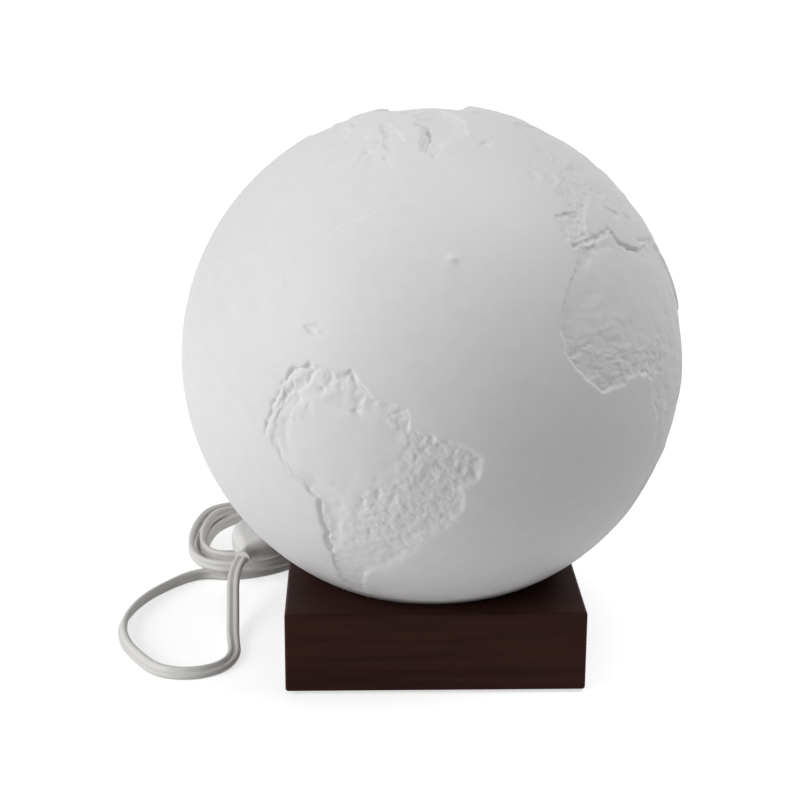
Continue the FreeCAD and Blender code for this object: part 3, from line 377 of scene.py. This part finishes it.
# Dark and light colour, size of the spots, range of roughness, size and height of the fine unevenness, and
# metallic or not; sizes in millimetres
looks = {
    "white_ceramic": ((0.80, 0.787, 0.789), (0.83, 0.817, 0.819), 6, (0.48, 0.62), 0.5, 0.03, 0),
    "cord_plastic": ((0.80, 0.785, 0.755), (0.86, 0.848, 0.82), 12, (0.38, 0.55), 0.6, 0.01, 0),
    "moulded_plastic": ((0.87, 0.865, 0.85), (0.91, 0.905, 0.895), 9, (0.32, 0.45), 0.4, 0.01, 0),
    "black_felt": ((0.008, 0.007, 0.0065), (0.024, 0.021, 0.020), 0.8, (0.9, 1.0), 0.25, 0.2, 0),
    "cover_plastic": ((0.013, 0.012, 0.011), (0.021, 0.019, 0.018), 5, (0.5, 0.7), 0.4, 0.03, 0),
    "zinc_steel": ((0.36, 0.36, 0.35), (0.45, 0.45, 0.44), 1.5, (0.25, 0.45), 0.3, 0.01, 1),
    "plain_brass": ((0.49, 0.31, 0.083), (0.56, 0.36, 0.105), 2.5, (0.25, 0.38), 0.3, 0.006, 1),
    "holder_plastic": ((0.71, 0.69, 0.64), (0.77, 0.75, 0.70), 8, (0.4, 0.55), 0.4, 0.015, 0),
    "porcelain": ((0.76, 0.73, 0.67), (0.81, 0.78, 0.72), 7, (0.12, 0.22), 1.2, 0.01, 0),
    "bulb_metal": ((0.47, 0.47, 0.47), (0.55, 0.55, 0.54), 2, (0.2, 0.38), 0.4, 0.01, 1),
    "black_glass": ((0.008, 0.008, 0.0085), (0.012, 0.012, 0.0125), 2, (0.08, 0.16), 0.8, 0.005, 0),
    "bulb_plastic": ((0.83, 0.83, 0.81), (0.87, 0.87, 0.855), 8, (0.4, 0.5), 0.5, 0.008, 0),
    "opal": ((0.885, 0.876, 0.85), (0.915, 0.91, 0.885), 10, (0.3, 0.4), 1.0, 0.005, 0),
    "white_board": ((0.81, 0.81, 0.785), (0.85, 0.85, 0.83), 3, (0.35, 0.5), 0.4, 0.01, 0),
    "phosphor": ((0.83, 0.63, 0.16), (0.90, 0.72, 0.22), 1, (0.3, 0.45), 0.2, 0.01, 0),
}
worn_by = {
    "black_felt": ["felt_pad"],
    "cover_plastic": ["bottom_cover", "cord_clamp"],
    "zinc_steel": ["cover_screws", "clamp_screws", "threaded_nipple", "nipple_washer", "switch_screws"],
    "plain_brass": [
        "holder_contact", "terminal_screws", "bulb_contact", "plug_blades", "switch_contacts", "holder_shell",
        "nipple_nuts"],
    "moulded_plastic": ["strain_relief", "switch_lower", "switch_upper", "switch_rocker", "plug_body"],
    "holder_plastic": ["holder_cap", "holder_skirt"],
    "porcelain": ["holder_insert"],
    "cord_plastic": ["lead_wire_live", "lead_wire_neutral", "cord_tail"],
    "black_glass": ["bulb_insulator"],
    "bulb_plastic": ["bulb_neck"],
    "white_board": ["bulb_board"],
    "phosphor": ["bulb_leds"],
    "opal": ["bulb_diffuser"],
}
noise_range = (0.3, 0.7)  # where most values of a noise texture lie
spot_detail = 5.0
grain_detail = 3.0
# Wood: positions and colours of the streaks, from dark to light
wood_stops = [
    (0.25, (0.021, 0.0072, 0.0056)), (0.5, (0.0325, 0.0112, 0.0087)), (0.78, (0.048, 0.0172, 0.0130))]
wood_roughness = (0.42, 0.6)
wood_specular = 0.07
streak_size = 3 * MM
streak_detail = 6.0
streak_stretch = (14, 1, 1)
pore_size = 0.7 * MM
pore_stretch = (16, 1, 1)
pore_depth = 0.06 * MM


def noise_texture(tree, size, detail, stretch=(1, 1, 1)):
    """Noise in the piece's own coordinates, with features of about that size, in metres."""
    place = tree.nodes.new("ShaderNodeTexCoord")
    mapping = tree.nodes.new("ShaderNodeMapping")
    mapping.inputs["Scale"].default_value = [1 / factor for factor in stretch]
    texture = tree.nodes.new("ShaderNodeTexNoise")
    texture.inputs["Scale"].default_value = 1 / size
    texture.inputs["Detail"].default_value = detail
    tree.links.new(place.outputs["Object"], mapping.inputs["Vector"])
    tree.links.new(mapping.outputs["Vector"], texture.inputs["Vector"])
    return texture.outputs[0]


def colour_ramp(tree, source, stops):
    ramp = tree.nodes.new("ShaderNodeValToRGB")
    while len(ramp.color_ramp.elements) < len(stops):
        ramp.color_ramp.elements.new(0.5)
    for element, (position, colour) in zip(ramp.color_ramp.elements, stops):
        element.position = position
        element.color = (*colour, 1)
    tree.links.new(source, ramp.inputs[0])
    return ramp.outputs[0]


def rescale(tree, source, result):
    scale = tree.nodes.new("ShaderNodeMapRange")
    set_range(scale, noise_range, result)
    tree.links.new(source, scale.inputs["Value"])
    return scale.outputs[0]


def add_bump(tree, shader, source, height):
    bump = tree.nodes.new("ShaderNodeBump")
    bump.inputs["Strength"].default_value = 1.0
    bump.inputs["Distance"].default_value = height
    tree.links.new(source, bump.inputs["Height"])
    tree.links.new(bump.outputs[0], shader.inputs["Normal"])


def surface(name):
    """Material whose colour and gloss vary between two values over spots, with a fine unevenness."""
    dark, light, spot, roughness, grain, height, metallic = looks[name]
    material = bpy.data.materials.new(name)
    material.use_nodes = True
    tree = material.node_tree
    shader = tree.nodes["Principled BSDF"]
    spots = noise_texture(tree, spot * MM, spot_detail)
    colours = colour_ramp(tree, spots, list(zip(noise_range, (dark, light))))
    tree.links.new(colours, shader.inputs["Base Color"])
    tree.links.new(rescale(tree, spots, roughness), shader.inputs["Roughness"])
    add_bump(tree, shader, noise_texture(tree, grain * MM, grain_detail), height * MM)
    shader.inputs["Metallic"].default_value = metallic
    return material


def wood_look():
    """Dark stained wood with its grain along X."""
    material = bpy.data.materials.new("dark_wood")
    material.use_nodes = True
    tree = material.node_tree
    shader = tree.nodes["Principled BSDF"]
    streaks = noise_texture(tree, streak_size, streak_detail, streak_stretch)
    tree.links.new(colour_ramp(tree, streaks, wood_stops), shader.inputs["Base Color"])
    tree.links.new(rescale(tree, streaks, wood_roughness), shader.inputs["Roughness"])
    add_bump(tree, shader, noise_texture(tree, pore_size, grain_detail, pore_stretch), pore_depth)
    shader.inputs["Specular IOR Level"].default_value = wood_specular
    return material


def dress(names, material):
    """Gives CAD nodes that material in every slot."""
    for name in names:
        slots = nodes[name].data.materials
        if len(slots) == 0:
            slots.append(material)
        for index in range(len(slots)):
            slots[index] = material


# Cord

def spline_points(route):
    """Points along the smooth spline that has this route as its control points."""
    data = bpy.data.curves.new("route", "CURVE")
    data.dimensions = "3D"
    data.resolution_u = cord_resolution
    spline = data.splines.new("NURBS")
    spline.points.add(len(route) - 1)
    for point, place in zip(spline.points, route):
        point.co = (*place, 1)
    spline.order_u = 3
    spline.use_endpoint_u = True
    thing = link("route", data)
    bpy.context.view_layer.update()
    mesh = bpy.data.meshes.new_from_object(thing)
    points = [vertex.co.copy() for vertex in mesh.vertices]
    bpy.data.objects.remove(thing)
    bpy.data.meshes.remove(mesh)
    return points


def coil_route():
    """In along the upper layer, then out along the lower one, clockwise from above."""
    route = []
    steps = round((turns_in + turns_out) * points_per_turn)
    for step in range(steps + 1):
        turn = step / points_per_turn
        angle = -2 * math.pi * turn
        side = angle - coil_lean
        offset = coil_inner_offset + coil_pitch * abs(turn - turns_in)
        right, left, near, far = [
            half + spread * offset for half, spread in (coil_right, coil_left, coil_near, coil_far)]
        lower = smoothstep(-0.5, 0.5, (turn - drop_turn) / drop_turns)
        left += coil_low_left * lower
        right += coil_low_right * lower
        half_width = left + (right - left) * smoothstep(-coil_blend, coil_blend, math.cos(side))
        half_length = near + (far - near) * smoothstep(-coil_blend, coil_blend, math.sin(angle))
        fuller = 1 + coil_blunt * math.sin(side) ** 2
        x = coil_centre[0] + half_width * math.cos(side) * fuller
        y = coil_centre[1] + half_length * math.sin(angle)
        layer = (1 - lower) * (1 - coil_far_drop * smoothstep(coil_far_from, 1.0, math.sin(angle)))
        route.append((x, y, cord_low + (cord_high - cord_low) * layer))
    return route


def twin_section():
    """Outline of the cord as (sideways, up) pairs: two round conductors with a waist between."""
    radius = cord_thickness / 2
    centre = (cord_width - cord_thickness) / 2
    outline = []
    for sign in (1, -1):
        for index in range(lobe_points):
            angle = -lobe_opening + (math.pi + 2 * lobe_opening) * index / (lobe_points - 1)
            outline.append((sign * radius * math.cos(angle), sign * (centre + radius * math.sin(angle))))
    return outline


def closed_tube(name, rings, material):
    """Smooth closed surface through rings that have the same number of points."""
    count = len(rings[0])
    verts = [point for ring in rings for point in ring]
    faces = []
    for first in range(0, len(verts) - count, count):
        for index in range(count):
            a = first + index
            b = first + (index + 1) % count
            faces.append((a, b, b + count, a + count))
    faces.append(tuple(range(count - 1, -1, -1)))
    faces.append(tuple(range(len(verts) - count, len(verts))))
    mesh = bpy.data.meshes.new(name)
    mesh.from_pydata(verts, [], faces)
    bm = bmesh.new()
    bm.from_mesh(mesh)
    bmesh.ops.recalc_face_normals(bm, faces=bm.faces[:])
    bm.to_mesh(mesh)
    bm.free()
    mesh.shade_smooth()
    mesh.materials.append(material)
    return link(name, mesh)


def cord_piece(name, points, rolls, material):
    """Twin cord along points. Each roll, in degrees, turns the section from on edge over to flat."""
    outline = twin_section()
    rings = []
    for index, point in enumerate(points):
        before = points[max(index - 1, 0)]
        after = points[min(index + 1, len(points) - 1)]
        heading = (after - before).normalized()
        side = heading.cross(up).normalized()
        turn = Matrix.Rotation(-math.radians(rolls[index]), 3, heading)
        rise = turn @ side.cross(heading)
        side = turn @ side
        rings.append([point + side * across + rise * height for across, height in outline])
    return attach(closed_tube(name, rings, material), "base")


# Bulb

def screw_cap(material):
    """Bulb cap with a rolled thread, in its solid's place."""
    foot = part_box("bulb_cap")[0][2]
    radii, heights = zip(*cap_profile)
    fading = thread_pitch / 2
    rings = []
    for step in range(cap_rings + 1):
        height = heights[-1] * step / cap_rings
        radius = np.interp(height, heights, radii)
        begun = smoothstep(thread_start, thread_start + fading, height)
        ended = smoothstep(thread_end - fading, thread_end, height)
        ring = []
        for side in range(cap_sides):
            angle = 2 * math.pi * side / cap_sides
            wave = 0.5 - 0.5 * math.cos(2 * math.pi * height / thread_pitch - angle)
            reach = (radius - thread_depth * wave * begun * (1 - ended)) * MM
            ring.append(Vector((reach * math.cos(angle), reach * math.sin(angle), foot + height * MM)))
        rings.append(ring)
    cap = closed_tube("bulb_thread", rings, material)
    cap.data.set_sharp_from_angle(angle=sharp_edge)
    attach(cap, "bulb")
    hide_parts("bulb_cap")


# Globe

def towards(longitude, latitude):
    east = math.radians(longitude - front_longitude)
    north = math.radians(latitude)
    return Vector((math.cos(north) * math.sin(east), -math.cos(north) * math.cos(east), math.sin(north)))


def weighted_values(directions, regions, default):
    """For each direction, the mean of the regions' values, weighted by nearness."""
    weight = np.full(len(directions), default_weight)
    total = np.outer(weight, default)
    for longitude, latitude, reach, *values in regions.values():
        cosine = directions @ np.array(towards(longitude, latitude))
        share = np.exp(-(np.degrees(np.arccos(np.clip(cosine, -1, 1))) / reach) ** 2)
        weight += share
        total += np.outer(share, values)
    return total / weight[:, None]


def groove_depths(places, lumps):
    """For each place, how deep the deepest groove and the pits are there.
    Lumps, from -1 to 1, make a groove ragged."""
    depth = np.zeros(len(places))
    for half_width, deepest, ragged, line in grooves.values():
        here = deepest * MM * np.maximum(1 + ragged * lumps, 0)
        corners = [np.array(towards(*corner)) * globe_radius for corner in line]
        for start, end in zip(corners, corners[1:]):
            run = end - start
            along = np.clip((places - start) @ run / (run @ run), 0, 1)
            gap = np.linalg.norm(places - start - np.outer(along, run), axis=1)
            depth = np.maximum(depth, here * np.exp(-(gap / (half_width * MM)) ** 2))
    for deepest, half_width, longitude, latitude in pits.values():
        gap = np.linalg.norm(places - np.array(towards(longitude, latitude)) * globe_radius, axis=1)
        depth += deepest * MM * np.exp(-(gap / (half_width * MM)) ** 2)
    return depth


class Terrain:
    """Depth of the ground below the sea, from the coasts and mountain edges of the globe's own solid."""
    shallowest = globe_radius - coast_depth
    mountain = globe_radius - scarp_depth

    def __init__(self):
        mesh = nodes["globe_shell"].data
        mesh.calc_loop_triangles()
        points = [vertex.co - globe_centre for vertex in mesh.vertices]
        radii = [point.length for point in points]
        rim_z = -math.sqrt(globe_radius**2 - rim_radius**2)
        outer = []
        coast = []
        scarp = []
        self.levels = []
        for triangle in mesh.loop_triangles:
            corners = tuple(triangle.vertices)
            low = min(radii[index] for index in corners)
            high = max(radii[index] for index in corners)
            at_rim = max(points[index].z for index in corners) < rim_z + rim_band
            if low < globe_inner_radius + inner_band or at_rim:
                continue
            outer.append(corners)
            self.levels.append((low + high) / 2)
            if low < self.shallowest < high:
                coast.append(corners)
            if low < self.mountain < high:
                scarp.append(corners)
        self.outer = BVHTree.FromPolygons(points, outer)
        self.coast = BVHTree.FromPolygons(points, coast)
        self.scarp = BVHTree.FromPolygons(points, scarp)

    def level(self, direction):
        """Radius of the solid's step there: sea, plain, land or mountain."""
        index = self.outer.ray_cast(direction * globe_radius * ray_start, -direction)[2]
        return globe_radius if index is None else self.levels[index]

    def bent(self, direction):
        """Direction of the solid's point that shows here, so that coasts wander a little."""
        place = direction * globe_radius
        shift = Vector()
        for size, reach in coast_waves:
            shift += noise.noise_vector(place / (size * MM)) * reach
        return (place + shift * MM).normalized()

    def inland(self, direction):
        """Distance from the coast, negative on the sea."""
        distance = self.coast.find_nearest(direction * self.shallowest)[3]
        return distance if self.level(direction) < self.shallowest else -distance

    def upland(self, direction):
        distance = self.scarp.find_nearest(direction * self.mountain)[3]
        return distance if self.level(direction) < self.mountain else -distance

    def depths(self, directions):
        places = [direction * globe_radius for direction in directions]
        samples = [self.bent(direction) for direction in directions]
        bent = np.array(samples)
        ground, rough, peak = weighted_values(bent, grounds, default_ground).T
        slope = weighted_values(bent, slopes, (default_shore,))[:, 0]
        lumps = np.array([noise.noise(place / lump_size) for place in places])
        groove = groove_depths(bent * globe_radius, lumps)
        far = np.degrees(np.arccos(np.clip(bent @ np.array(towards(*terrace_place[:2])), -1, 1)))
        terrace = np.exp(-(far / terrace_place[2]) ** 2)
        result = []
        for index, place in enumerate(places):
            inland = self.inland(samples[index])
            width = slope[index] * MM
            shore = smoothstep(shore_ends[0] * width, shore_ends[1] * width, inland)
            depth = groove[index]
            if shore > 0:
                hill = mountain_step * peak[index] * smoothstep(*hill_ends, self.upland(samples[index]))
                swell = swell_share * ground[index] * noise.noise(place / swell_size)
                rubble = rubble_height * noise.fractal(place / rubble_size, *rubble_fractal)
                hollows = hollow_depth * max(noise.noise(place / hollow_size) - hollow_least, 0)
                bent_place = samples[index] * globe_radius
                stretched = Vector([along / size for along, size in zip(bent_place, terrace_size)])
                steps = terrace_height * noise.noise(stretched)
                uneven = rough[index] * (rubble + hollows) + terrace[index] * steps
                depth += shore * max(ground[index] + hill + swell + uneven, 0) * MM
            result.append(min(depth, deepest_ground))
        return result


def refined_sphere(terrain):
    """Unit sphere of triangles: coarse on the open sea, finer on land and finest along coasts and on rough
    ground that faces the front."""
    bm = bmesh.new()
    bmesh.ops.create_icosphere(bm, subdivisions=sea_subdivisions, radius=1.0)
    front = (camera_place - globe_centre).normalized()
    for step in range(refinements):
        bm.verts.index_update()
        directions = np.array([v.co for v in bm.verts])
        ground, rough, _ = weighted_values(directions, grounds, default_ground).T
        marks = np.abs(groove_depths(directions * globe_radius, np.zeros(len(directions)))) > least_mark
        chosen = []
        for v in bm.verts:
            inland = terrain.inland(terrain.bent(v.co))
            coastal = abs(inland) < coast_margin * margin_shares[step] and ground[v.index] > least_coast
            if step == 0:
                chosen.append(inland > 0 or coastal or marks[v.index])
            else:
                fine = coastal or marks[v.index] or (inland > 0 and rough[v.index] > rough_ground[step - 1])
                seen = v.co.z > hidden_below and (step == 1 or v.co.dot(front) > finest_facing)
                chosen.append(fine and seen)
        split = [e for e in bm.edges if any(chosen[v.index] for face in e.link_faces for v in face.verts)]
        bmesh.ops.subdivide_edges(bm, edges=split, cuts=1, use_grid_fill=True)
        bmesh.ops.triangulate(bm, faces=[face for face in bm.faces if len(face.verts) > 3])
        for v in bm.verts:
            v.co.normalize()
    return bm


def globe_piece(material):
    terrain = Terrain()
    bm = refined_sphere(terrain)
    for v, depth in zip(bm.verts, terrain.depths([v.co.copy() for v in bm.verts])):
        v.co = globe_centre + v.co * (globe_radius - depth)
    rim_z = globe_centre.z - math.sqrt(globe_radius**2 - rim_radius**2)
    everything = bm.verts[:] + bm.edges[:] + bm.faces[:]
    bmesh.ops.bisect_plane(bm, geom=everything, plane_co=(0, 0, rim_z), plane_no=(0, 0, -1), clear_outer=True)
    border = [e for e in bm.edges if e.is_boundary]
    low_angle = math.asin(mouth_radius / globe_inner_radius)
    profile = [(mouth_radius, rim_z)]
    for step in range(inner_rings):
        angle = low_angle + (math.pi - low_angle) * step / inner_rings
        height = globe_centre.z - globe_inner_radius * math.cos(angle)
        profile.append((globe_inner_radius * math.sin(angle), height))
    for radius, z in profile:
        made = bmesh.ops.extrude_edge_only(bm, edges=border)["geom"]
        border = [item for item in made if isinstance(item, bmesh.types.BMEdge) and item.is_boundary]
        ring = [item for item in made if isinstance(item, bmesh.types.BMVert)]
        for v in ring:
            flat = Vector((v.co.x, v.co.y, 0)).normalized() * radius
            v.co = Vector((flat.x, flat.y, z))
    bmesh.ops.pointmerge(bm, verts=ring, merge_co=globe_centre + up * globe_inner_radius)
    bmesh.ops.recalc_face_normals(bm, faces=bm.faces[:])
    mesh = bpy.data.meshes.new("globe")
    bm.to_mesh(mesh)
    bm.free()
    mesh.shade_smooth()
    mesh.set_sharp_from_angle(angle=sharp_edge)
    mesh.materials.append(material)
    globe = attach(link("globe", mesh), "globe")
    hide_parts("globe_shell")


noise.seed_set(coast_seed)
make_camera()
bpy.context.scene.view_settings.view_transform = "Standard"
make_world()
make_floor()
for name, (direction, power) in lamps.items():
    area_light(name, direction, power)

materials = {name: surface(name) for name in looks}
dress(["base_block"], wood_look())
for look, names in worn_by.items():
    dress(names, materials[look])

cord_plastic = materials["cord_plastic"]
lead_points = spline_points(lead_route)
lead = cord_piece("cord_to_switch", lead_points, [0] * len(lead_points), cord_plastic)
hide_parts("cord_lead")
before_loop = link_route + coil_route()
main_points = spline_points(before_loop + loop_route)
roll_route = [(roll, 0, 0) for roll in [0] * len(before_loop) + loop_rolls]
main_rolls = [point.x for point in spline_points(roll_route)]
main = cord_piece("cord_to_plug", main_points, main_rolls, cord_plastic)
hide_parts("cord_link", "cord_coil", "cord_loop")

screw_cap(materials["bulb_metal"])
globe_piece(materials["white_ceramic"])
